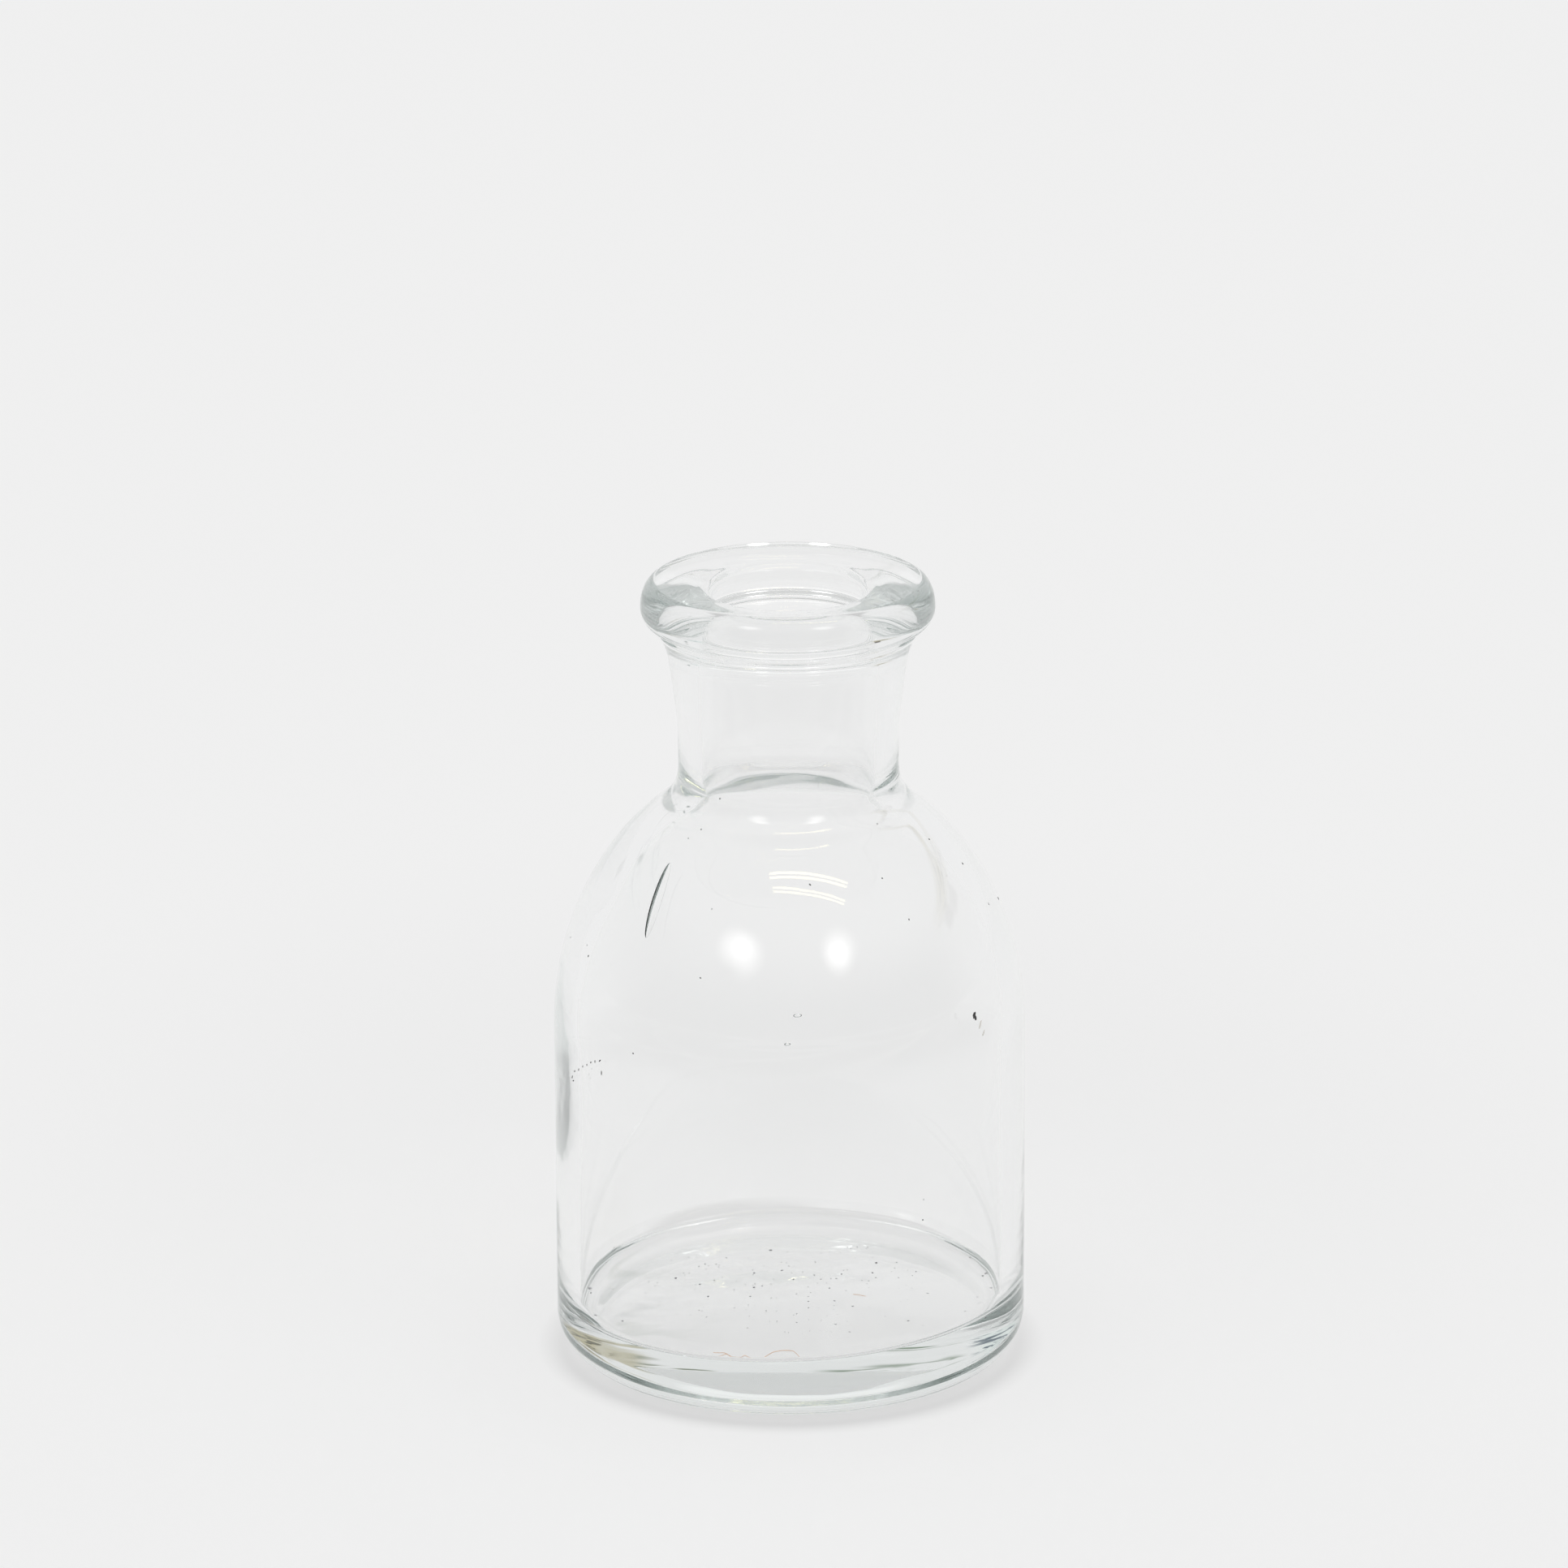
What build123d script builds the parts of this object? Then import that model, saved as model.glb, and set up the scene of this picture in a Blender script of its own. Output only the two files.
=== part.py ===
"""Glass bud vase: a small free-standing bottle-shaped flower vase, moulded as one piece of clear glass.

All lengths are millimetres.  +Z is up and the origin is the centre of the ring it stands on.
The whole vase is one surface of revolution about Z, so the model is one closed profile in the
XZ plane turned through a full circle: a flat bearing ring round a shallow push-up, a rounded heel,
a plain cylindrical body, a half-ellipse shoulder, a waisted neck with the neck mould's parting ring
above it, and a rolled bead round the mouth.  Inside, an even wall follows the outside down to a
thick flat floor, and the neck has a short land at the mouth and a straight bore below it.
"""

from build123d import *
import math
import os

# ---- driving dimensions -------------------------------------------------------------------
BODY_R = 31.75          # outside radius of the cylindrical body
TOTAL_H = 108.0         # height over the bead

# base
BEARING_R_IN = 25.4     # bearing ring it stands on, inner radius
BEARING_R_OUT = 26.4    # bearing ring, outer radius
HEEL_H = 5.6            # height at which the heel's curve meets the body wall
PUSHUP_H = 0.5          # height of the push-up under the centre of the base
FLOOR_Z = 8.0           # height of the inside floor
FLOOR_FILLET = 1.1      # inside corner radius, floor to wall

# body and shoulder
WALL_T = 3.3            # wall thickness of the body
SHOULDER_Z = 46.0       # where the straight wall ends and the shoulder starts
SHOULDER_B = 37.2       # vertical semi-axis of the shoulder's ellipse
SHOULDER_END_Z = 77.4   # where the ellipse runs out into the hollow curve under the neck
SHOULDER_T = 4.3        # how far the inside shoulder's ellipse falls short of the outside one
IN_SHOULDER_END_Z = 73.6

# neck
NECK_R = 14.74          # outside radius at the waist of the neck
NECK_Z = 84.0           # height of the waist
BORE_R = 11.5           # inside radius of the neck, a straight bore
BORE_Z0 = 80.0          # lower end of the straight bore
BORE_Z1 = 99.0          # upper end of the straight bore

# finish: the parting ring of the neck mould, and the bead round the mouth
PART_R = 17.3           # parting ring's radius
PART_Z = 101.1
BEAD_UNDER_R = 17.15    # where the bead's underside meets the small groove over the parting ring
BEAD_UNDER_Z = 101.75
BEAD_R = 19.6           # outside radius of the bead
BEAD_Z = 104.4          # height of the bead's widest circle
BEAD_TOP_R = 17.6       # radius of the bead's highest circle
FUNNEL_R = 11.0         # where the top face turns down into the mouth
FUNNEL_Z = 106.75
MOUTH_R = 10.45         # narrowest radius of the mouth, a short straight land
MOUTH_Z0 = 104.4        # lower end of the land
MOUTH_Z1 = 105.9        # upper end of the land
STEP_R = 10.9           # radius just under the small step below the land
STEP_Z = 103.7

SHOULDER_POINTS = 9     # spans used to carry an ellipse through the splines


def shoulder(a, b, z_end):
    """Points up an ellipse of semi-axes a (radial) and b (vertical) centred on the axis at
    SHOULDER_Z, from its widest circle to z_end, and the unit tangent there."""
    t_end = math.asin((z_end - SHOULDER_Z) / b)
    pts = [(a * math.cos(t_end * i / SHOULDER_POINTS),
            SHOULDER_Z + b * math.sin(t_end * i / SHOULDER_POINTS))
           for i in range(SHOULDER_POINTS + 1)]
    dr, dz = -a * math.sin(t_end), b * math.cos(t_end)
    n = math.hypot(dr, dz)
    return pts, (dr / n, dz / n)


out_pts, out_dir = shoulder(BODY_R, SHOULDER_B, SHOULDER_END_Z)
IN_R = BODY_R - WALL_T
in_pts, in_dir = shoulder(IN_R, SHOULDER_B - SHOULDER_T, IN_SHOULDER_END_Z)
in_dir_down = (-in_dir[0], -in_dir[1])

with BuildPart() as vessel:
    with BuildSketch(Plane.XZ):
        with BuildLine():
            # underside: a smooth shallow push-up, the flat bearing ring, the heel
            Spline((0, PUSHUP_H), (BEARING_R_IN / 2, PUSHUP_H / 2), (BEARING_R_IN, 0),
                   tangents=[(1, 0), (1, 0)])
            Line((BEARING_R_IN, 0), (BEARING_R_OUT, 0))
            EllipticalCenterArc((BEARING_R_OUT, HEEL_H), BODY_R - BEARING_R_OUT, HEEL_H,
                                start_angle=270, arc_size=90)
            Line((BODY_R, HEEL_H), (BODY_R, SHOULDER_Z))
            # shoulder, the hollow curve under the neck, the neck's waist and flare
            Spline(*out_pts, tangents=[(0, 1), out_dir])
            Spline(out_pts[-1], (15.12, 80.1), (NECK_R, NECK_Z), tangents=[out_dir, (0, 1)])
            Spline((NECK_R, NECK_Z), (14.86, 88.9), (15.25, 92.0), (15.68, 95.2), (16.30, 98.8),
                   (PART_R - 0.22, PART_Z - 0.35), tangents=[(0, 1), (0.48, 0.88)])
            # parting ring and the small groove over it
            ThreePointArc((PART_R - 0.22, PART_Z - 0.35), (PART_R, PART_Z - 0.02),
                          (PART_R - 0.16, PART_Z + 0.24))
            ThreePointArc((PART_R - 0.16, PART_Z + 0.24), (PART_R - 0.25, PART_Z + 0.46),
                          (BEAD_UNDER_R, BEAD_UNDER_Z))
            # bead: underside, upper quarter, then the top face sloping into the mouth
            Spline((BEAD_UNDER_R, BEAD_UNDER_Z), (18.75, 102.45), (BEAD_R, BEAD_Z),
                   tangents=[(0.92, 0.39), (0, 1)])
            EllipticalCenterArc((BEAD_TOP_R, BEAD_Z), BEAD_R - BEAD_TOP_R, TOTAL_H - BEAD_Z,
                                start_angle=0, arc_size=90)
            Spline((BEAD_TOP_R, TOTAL_H), (14.6, 107.7), (12.2, 107.25), (FUNNEL_R, FUNNEL_Z),
                   (MOUTH_R, MOUTH_Z1), tangents=[(-1, 0), (0, -1)])
            # mouth land and the small step under it, straight bore, inside shoulder, wall, floor
            Line((MOUTH_R, MOUTH_Z1), (MOUTH_R, MOUTH_Z0))
            Spline((MOUTH_R, MOUTH_Z0), (MOUTH_R + 0.27, MOUTH_Z0 - 0.28), (STEP_R, STEP_Z),
                   tangents=[(0, -1), (0.1, -1)])
            Spline((STEP_R, STEP_Z), (BORE_R, BORE_Z1), tangents=[(0.1, -1), (0, -1)])
            Line((BORE_R, BORE_Z1), (BORE_R, BORE_Z0))
            Spline((BORE_R, BORE_Z0), (12.2, 77.6), (13.7, 75.4), in_pts[-1],
                   tangents=[(0, -1), in_dir_down])
            Spline(*reversed(in_pts), tangents=[in_dir_down, (0, -1)])
            Line((IN_R, SHOULDER_Z), (IN_R, FLOOR_Z + FLOOR_FILLET))
            EllipticalCenterArc((IN_R - FLOOR_FILLET, FLOOR_Z + FLOOR_FILLET), FLOOR_FILLET,
                                FLOOR_FILLET, start_angle=0, arc_size=-90)
            Line((IN_R - FLOOR_FILLET, FLOOR_Z), (0, FLOOR_Z))
            Line((0, FLOOR_Z), (0, PUSHUP_H))
        make_face()
    revolve(axis=Axis.Z)

glass_vessel = vessel.part
glass_vessel.label = "glass_vessel"

os.makedirs("parts", exist_ok=True)
export_step(glass_vessel, "parts/glass_vessel.step")

bb = glass_vessel.bounding_box()
print("glass_vessel", "solids", len(glass_vessel.solids()), "valid", glass_vessel.is_valid,
      "volume_cm3", round(glass_vessel.volume / 1000, 2),
      "size", [round(v, 3) for v in (bb.size.X, bb.size.Y, bb.size.Z)],
      "z0", round(bb.min.Z, 4))
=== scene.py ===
import math

import bmesh
import bpy
import numpy as np
from mathutils import Matrix, Vector, noise


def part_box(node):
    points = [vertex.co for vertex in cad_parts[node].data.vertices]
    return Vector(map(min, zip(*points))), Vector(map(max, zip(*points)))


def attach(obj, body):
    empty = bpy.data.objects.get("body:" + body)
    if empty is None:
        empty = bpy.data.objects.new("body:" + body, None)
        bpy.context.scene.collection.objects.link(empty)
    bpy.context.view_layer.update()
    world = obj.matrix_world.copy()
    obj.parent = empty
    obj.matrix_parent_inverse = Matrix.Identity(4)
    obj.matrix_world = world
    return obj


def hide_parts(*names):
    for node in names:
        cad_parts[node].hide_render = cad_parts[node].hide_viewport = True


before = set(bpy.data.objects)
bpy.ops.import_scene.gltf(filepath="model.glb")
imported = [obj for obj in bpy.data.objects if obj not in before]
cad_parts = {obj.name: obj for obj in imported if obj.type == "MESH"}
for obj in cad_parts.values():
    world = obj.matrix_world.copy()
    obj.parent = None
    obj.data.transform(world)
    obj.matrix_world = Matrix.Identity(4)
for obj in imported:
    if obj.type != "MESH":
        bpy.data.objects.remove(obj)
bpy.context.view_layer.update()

lo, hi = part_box("glass_vessel")
MM = (hi.z - lo.z) / 108.0          # one millimetre of the CAD model, in metres
scene = bpy.context.scene
CAMERA_SIDE, CEILING, BACK_SIDE = 0.45, 0.90, 0.88     # radiance of the room in front of the vase and behind it
LAMP, TUBE = 3.9, 7.5


# ------------------------------------------------------------------------------------ profile
# The same sizes as the CAD solid, in millimetres from the middle of the base.
BODY_R, TOTAL_H = 31.75, 108.0
WALL_T = 3.3
SHOULDER_Z, SHOULDER_B, SHOULDER_END_Z, SHOULDER_T = 46.0, 37.2, 77.4, 4.3
IN_R = BODY_R - WALL_T
FLOOR_Z, FLOOR_FILLET = 8.0, 1.1
BORE_R, BORE_Z0 = 11.5, 80.0
BEARING_R_IN, PUSHUP_H = 25.4, 0.5
MOUTH_R = 10.45


def arc(cx, cz, a, b, t0, t1, n):
    """Points of an ellipse round (cx, cz), from angle t0 to t1 in degrees."""
    return [(cx + a * math.cos(math.radians(t0 + (t1 - t0) * i / n)),
             cz + b * math.sin(math.radians(t0 + (t1 - t0) * i / n))) for i in range(n + 1)]


def line(p, q, n):
    return [(p[0] + (q[0] - p[0]) * i / n, p[1] + (q[1] - p[1]) * i / n) for i in range(n + 1)]


def hermite(pts, d0, d1, n):
    """A smooth curve through pts, leaving along d0 and arriving along d1, n steps a span."""
    P = [np.array(p, float) for p in pts]
    L = [np.linalg.norm(P[i + 1] - P[i]) for i in range(len(P) - 1)]
    T = [np.array(d0, float) / np.linalg.norm(d0)]
    for i in range(1, len(P) - 1):
        a, b = (P[i] - P[i - 1]) / L[i - 1], (P[i + 1] - P[i]) / L[i]
        t = a * L[i] + b * L[i - 1]
        T.append(t / np.linalg.norm(t))
    T.append(np.array(d1, float) / np.linalg.norm(d1))
    out = []
    for i in range(len(P) - 1):
        for k in range(n):
            t = k / n
            h = (2 * t ** 3 - 3 * t ** 2 + 1, t ** 3 - 2 * t ** 2 + t,
                 -2 * t ** 3 + 3 * t ** 2, t ** 3 - t ** 2)
            out.append(tuple(h[0] * P[i] + h[1] * T[i] * L[i] + h[2] * P[i + 1] + h[3] * T[i + 1] * L[i]))
    out.append(tuple(P[-1]))
    return out


def build_profile():
    """Half-profile of the glass, anticlockwise from the middle of the underside to the middle of
    the inside floor, with a tag for each point."""
    out = []

    def add(points, tag):
        for p in points:
            if not out or math.hypot(p[0] - out[-1][0], p[1] - out[-1][1]) > 1e-4:
                out.append((p[0], p[1], tag))

    # underside
    add([(BEARING_R_IN * i / 26, 0.5 * PUSHUP_H * (1 + math.cos(math.pi * i / 26))) for i in range(1, 27)], "under")
    add(line((BEARING_R_IN, 0.0), (26.4, 0.0), 3), "ring")
    add(arc(26.4, 5.6, BODY_R - 26.4, 5.6, 270, 360, 26), "heel")
    add(line((BODY_R, 5.6), (BODY_R, SHOULDER_Z), 10), "wall")
    # shoulder
    te = math.degrees(math.asin((SHOULDER_END_Z - SHOULDER_Z) / SHOULDER_B))
    add(arc(0, SHOULDER_Z, BODY_R, SHOULDER_B, 0, te, 52), "wall")
    d = (-BODY_R * math.sin(math.radians(te)), SHOULDER_B * math.cos(math.radians(te)))
    add(hermite([out[-1][:2], (15.12, 80.1), (14.74, 84.0)], d, (0, 1), 9), "neck")
    add(hermite([(14.74, 84.0), (14.86, 88.9), (15.25, 92.0), (15.68, 95.2), (16.30, 98.8), (17.08, 100.75)],
                (0, 1), (0.48, 0.88), 6), "neck")
    # parting ring, groove, bead
    add(hermite([(17.08, 100.75), (17.30, 101.08), (17.14, 101.34)], (0.48, 0.88), (-0.6, 0.8), 5), "part")
    add(hermite([(17.14, 101.34), (17.03, 101.56), (17.15, 101.75)], (-0.6, 0.8), (0.85, 0.5), 4), "part")
    add(hermite([(17.15, 101.75), (18.75, 102.45), (19.6, 104.4)], (0.92, 0.39), (0, 1), 12), "bead")
    add(arc(17.6, 104.4, 2.0, 3.6, 0, 90, 24), "bead")
    add(hermite([(17.6, 108.0), (14.6, 107.7), (12.2, 107.25), (11.0, 106.75), (MOUTH_R, 105.9)],
                (-1, 0), (0, -1), 8), "bead")
    # inside
    add(line((MOUTH_R, 105.9), (MOUTH_R, 104.4), 3), "in")
    add(hermite([(MOUTH_R, 104.4), (10.72, 104.12), (10.9, 103.7)], (0, -1), (0.1, -1), 3), "in")
    add(hermite([(10.9, 103.7), (BORE_R, 99.0)], (0.1, -1), (0, -1), 10), "in")
    add(line((BORE_R, 99.0), (BORE_R, BORE_Z0), 12), "in")
    ti = math.degrees(math.asin((73.6 - SHOULDER_Z) / (SHOULDER_B - SHOULDER_T)))
    inner = arc(0, SHOULDER_Z, IN_R, SHOULDER_B - SHOULDER_T, ti, 0, 48)
    d = (IN_R * math.sin(math.radians(ti)), -(SHOULDER_B - SHOULDER_T) * math.cos(math.radians(ti)))
    add(hermite([(BORE_R, BORE_Z0), (11.96, 77.99), (13.54, 75.63), inner[0]], (0, -1), d, 8), "in")
    add(inner, "in")
    add(line((IN_R, SHOULDER_Z), (IN_R, FLOOR_Z + FLOOR_FILLET), 20), "in")
    add(arc(IN_R - 2.2, FLOOR_Z + FLOOR_FILLET, 2.2, FLOOR_FILLET, 0, -90, 16), "floor")
    r1 = IN_R - 2.2
    add([(r1 * (1 - i / 30), FLOOR_Z) for i in range(30)], "floor")
    return out


def fbm(x, y, z, scale, octaves=3, seed=0.0):
    v, a, tot = 0.0, 1.0, 0.0
    for o in range(octaves):
        v += a * noise.noise(Vector((x / scale + seed, y / scale - seed, z / scale + 1.7 * seed)))
        tot += a
        a *= 0.5
        scale *= 0.5
    return v / tot


SHIFT = 0.9
WEDGE, WEDGE_Z = 0.63, (20.0, 15.0)


def smooth(t):
    t = min(1.0, max(0.0, t))
    return t * t * (3 - 2 * t)


NA = 224
profile = build_profile()
verts, faces = [], []


def deform(r, z, tag, ang):
    """The small unevenness of moulded glass, in millimetres, kept inside the CAD solid's box."""
    c, s = math.cos(ang), math.sin(ang)
    x, y = r * c, r * s
    if tag in ("in", "floor"):
        x, y = r * c, r * s
        # the floor meets the front wall a little lower on the left than on the right
        sag = 0.75 * (x / 22.0) * smooth((8.0 - y) / 24.0) * smooth((24.0 - z) / 14.0)
    if tag == "in":
        n = fbm(c * 14, s * 14, z * 0.45, 11.0, 2, 3.1)
        low = smooth((78.0 - z) / 18.0)
        r += (0.02 + 0.10 * low) * n
        # a thicker patch of wall on one side, at half height
        turn = (math.degrees(ang) - 180.0 + 180.0) % 360.0 - 180.0      # 0 at -X, growing towards the back
        turn = -turn
        bump = smooth((turn + 26.0) / 46.0) if turn < 20.0 else smooth((150.0 - turn) / 130.0)
        r -= WEDGE * bump * smooth((z - WEDGE_Z[0]) / WEDGE_Z[1]) * smooth((62.0 - z) / 14.0)
        # and thicker on that side through the shoulder
        r -= SHIFT * smooth((0.35 - c) / 1.35) * smooth((z - 46.0) / 16.0) * smooth((74.0 - z) / 12.0)
        return r * c, r * s, z + sag
    elif tag == "floor":
        z += 0.045 * fbm(x, y, 0, 9.0, 2, 7.7) + 0.005 * fbm(x, y, 0, 2.2, 2, 2.2) + sag
    elif tag == "under":
        z += (0.028 * fbm(x, y, 0, 8.0, 2, 1.3) + (0.003 + 0.017 * smooth((r - 14.0) / 6.0)) * fbm(x, y, 0, 2.4, 2, 4.3)) * max(0.0, min(1.0, (25.2 - r) / 2))
        z = max(z, 0.02)
    elif tag == "heel":
        w = smooth(z / 0.8) * smooth((BODY_R - r) / 0.05 + 0.4)
        n = fbm(c * 7, s * 7, z * 1.6, 2.4, 2, 9.1)
        r -= 0.05 * w * (0.55 + 0.45 * n) + 0.03 * smooth(z / 5.0)
    elif tag in ("wall", "neck"):
        n = fbm(c * 20, s * 20, z * 0.5, 16.0, 2, 5.5)
        r += -0.04 + 0.04 * n if r > 31.0 else 0.05 * n
    return r * c, r * s, z


n_prof = len(profile)
for r, z, tag in profile:
    for a in range(NA):
        x, y, zz = deform(r, z, tag, 2 * math.pi * a / NA)
        verts.append((x * MM, y * MM, zz * MM))
for i in range(n_prof - 1):
    for a in range(NA):
        b = (a + 1) % NA
        faces.append((i * NA + a, i * NA + b, (i + 1) * NA + b, (i + 1) * NA + a))
bottom = len(verts); verts.append((0, 0, PUSHUP_H * MM))
top = len(verts); verts.append((0, 0, (FLOOR_Z + 0.045 * fbm(0, 0, 0, 9.0, 2, 7.7)) * MM))
for a in range(NA):
    b = (a + 1) % NA
    faces.append((bottom, b, a))
    faces.append((top, (n_prof - 1) * NA + a, (n_prof - 1) * NA + b))



def add_bubble(path, normal, depth, half_width, half_depth, lean=0.0, n_along=26, n_round=20):
    """An air bubble inside the wall: a pod along path (points on the outer surface, mm), sunk by depth
    along the inward normal. Its faces look into the bubble, because the glass is outside it."""
    N_ = Vector(normal).normalized()
    P = [Vector(p) - N_ * depth for p in path]
    base = len(verts)
    for i in range(1, n_along):
        s_ = -math.cos(math.pi * i / n_along)
        t = 0.5 * (s_ + 1)
        if len(P) == 3:
            mid = 2 * P[1] - 0.5 * (P[0] + P[2])
            c_ = (1 - t) ** 2 * P[0] + 2 * t * (1 - t) * mid + t * t * P[2]
            tan = (2 * (1 - t) * (mid - P[0]) + 2 * t * (P[2] - mid)).normalized()
        else:
            c_ = P[0].lerp(P[1], t)
            tan = (P[1] - P[0]).normalized()
        side = N_.cross(tan).normalized()
        out_ = tan.cross(side).normalized()
        k = math.sqrt(max(0.0, 1 - s_ * s_))
        for j in range(n_round):
            a_ = 2 * math.pi * j / n_round
            d_ = side * (half_width * math.cos(a_)) + out_ * (half_depth * math.sin(a_) + lean * math.cos(a_))
            verts.append(tuple((c_ + d_ * k) * MM))
    e0 = len(verts); verts.append(tuple(P[0] * MM))
    e1 = len(verts); verts.append(tuple(P[-1] * MM))
    rings = n_along - 1
    for i in range(rings - 1):
        for j in range(n_round):
            j2 = (j + 1) % n_round
            q = (base + i * n_round + j, base + i * n_round + j2, base + (i + 1) * n_round + j2, base + (i + 1) * n_round + j)
            faces.append(q)
    for j in range(n_round):
        j2 = (j + 1) % n_round
        faces.append((e0, base + j2, base + j))
        faces.append((e1, base + (rings - 1) * n_round + j, base + (rings - 1) * n_round + j2))
    return base, len(verts)


def bubble_turn(first_face):
    """Turn a bubble's faces so that they look into it."""
    pts = sorted({i for f in faces[first_face:] for i in f})
    mid = sum((Vector(verts[i]) for i in pts), Vector()) / len(pts)
    out_ = 0
    for f in faces[first_face:]:
        a_, b_, c_ = (Vector(verts[i]) for i in f[:3])
        out_ += 1 if (b_ - a_).cross(c_ - a_).dot(a_ - mid) > 0 else -1
    if out_ > 0:
        for i in range(first_face, len(faces)):
            faces[i] = tuple(reversed(faces[i]))


# a long blister in the shoulder, and two seeds in the front wall
k0 = len(faces)
add_bubble([(-16.09, -14.31, 73.33), (-17.75, -17.25, 69.20), (-19.21, -19.53, 64.81)], (-0.587, -0.582, 0.563),
           1.05, 0.92, 0.22, lean=0.12, n_along=40, n_round=28)
bubble_turn(k0)
for mid_, nor, wide, high in (((1.07, -30.24, 57.23), (0.034, -0.965, 0.26), 0.55, 0.27),
                              ((-0.32, -31.1, 53.48), (-0.01, -0.985, 0.175), 0.40, 0.23)):
    k0 = len(faces)
    add_bubble([(mid_[0] - wide, mid_[1], mid_[2] - 0.04), (mid_[0] + wide, mid_[1], mid_[2] + 0.04)], nor, 1.4, high, 0.24,
               n_along=18, n_round=16)
    bubble_turn(k0)

mesh = bpy.data.meshes.new("bud_vase_glass")
mesh.from_pydata(verts, [], faces)
mesh.validate()
mesh.polygons.foreach_set("use_smooth", [True] * len(mesh.polygons))
mesh.update()
vase = bpy.data.objects.new("bud_vase_glass", mesh)
scene.collection.objects.link(vase)


# ------------------------------------------------------------------------------------ glass
def new_material(name):
    m = bpy.data.materials.new(name)
    m.use_nodes = True
    m.node_tree.nodes.clear()
    return m, m.node_tree.nodes, m.node_tree.links


glass, N, L = new_material("clear_bottle_glass")
out = N.new("ShaderNodeOutputMaterial")
bsdf = N.new("ShaderNodeBsdfPrincipled")
bsdf.inputs["Base Color"].default_value = (1, 1, 1, 1)
bsdf.inputs["Metallic"].default_value = 0.0
bsdf.inputs["Roughness"].default_value = 0.0
bsdf.inputs["IOR"].default_value = 1.52
bsdf.inputs["Transmission Weight"].default_value = 1.0
absorb = N.new("ShaderNodeVolumeAbsorption")
absorb.inputs["Color"].default_value = (0.803, 0.834, 0.825, 1)
absorb.inputs["Density"].default_value = 15.0
L.new(bsdf.outputs["BSDF"], out.inputs["Surface"])
L.new(absorb.outputs["Volume"], out.inputs["Volume"])
vase.data.materials.append(glass)

# fine waviness of the moulded skin, and a trace of handling haze in patches
g_tc = N.new("ShaderNodeTexCoord")
g_wave = N.new("ShaderNodeTexNoise")
g_wave.inputs["Scale"].default_value = 110.0
g_wave.inputs["Detail"].default_value = 2.0
g_fine = N.new("ShaderNodeTexNoise")
g_fine.inputs["Scale"].default_value = 900.0
g_fine.inputs["Detail"].default_value = 1.0
g_sum = N.new("ShaderNodeMath")
g_sum.operation = "MULTIPLY_ADD"
g_sum.inputs[1].default_value = 0.012
g_bump = N.new("ShaderNodeBump")
g_bump.inputs["Strength"].default_value = 0.35
g_bump.inputs["Distance"].default_value = 0.00004
L.new(g_tc.outputs["Object"], g_wave.inputs["Vector"])
L.new(g_tc.outputs["Object"], g_fine.inputs["Vector"])
L.new(g_fine.outputs["Fac"], g_sum.inputs[0])
L.new(g_wave.outputs["Fac"], g_sum.inputs[2])
L.new(g_sum.outputs["Value"], g_bump.inputs["Height"])
L.new(g_bump.outputs["Normal"], bsdf.inputs["Normal"])
g_haze = N.new("ShaderNodeTexNoise")
g_haze.inputs["Scale"].default_value = 60.0
g_haze.inputs["Detail"].default_value = 4.0
g_band = N.new("ShaderNodeMapRange")
for key, v in (("From Min", 0.60), ("From Max", 0.80), ("To Min", 0.0), ("To Max", 0.035)):
    g_band.inputs[key].default_value = v
L.new(g_tc.outputs["Object"], g_haze.inputs["Vector"])
L.new(g_haze.outputs["Fac"], g_band.inputs["Value"])
L.new(g_band.outputs["Result"], bsdf.inputs["Roughness"])

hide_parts("glass_vessel")
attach(vase, "root")


# ------------------------------------------------------------------------------------ grit and fibres
def mottled(name, dark, light, scale, rough, alpha=1.0):
    m, N, L = new_material(name)
    o = N.new("ShaderNodeOutputMaterial")
    b = N.new("ShaderNodeBsdfPrincipled")
    t = N.new("ShaderNodeTexCoord")
    no = N.new("ShaderNodeTexNoise")
    no.inputs["Scale"].default_value = scale
    no.inputs["Detail"].default_value = 3.0
    mx = N.new("ShaderNodeMix")
    mx.data_type = "RGBA"
    mx.inputs[6].default_value = (*dark, 1)
    mx.inputs[7].default_value = (*light, 1)
    bu = N.new("ShaderNodeBump")
    bu.inputs["Strength"].default_value = 0.5
    bu.inputs["Distance"].default_value = 0.00003
    L.new(t.outputs["Object"], no.inputs["Vector"])
    L.new(no.outputs["Fac"], mx.inputs["Factor"])
    L.new(no.outputs["Fac"], bu.inputs["Height"])
    L.new(mx.outputs[2], b.inputs["Base Color"])
    L.new(bu.outputs["Normal"], b.inputs["Normal"])
    b.inputs["Roughness"].default_value = rough
    b.inputs["Alpha"].default_value = alpha
    L.new(b.outputs["BSDF"], o.inputs["Surface"])
    return m


def rand(seed):
    x = math.sin(seed * 127.1 + 11.7) * 43758.5453
    return x - math.floor(x)


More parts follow.
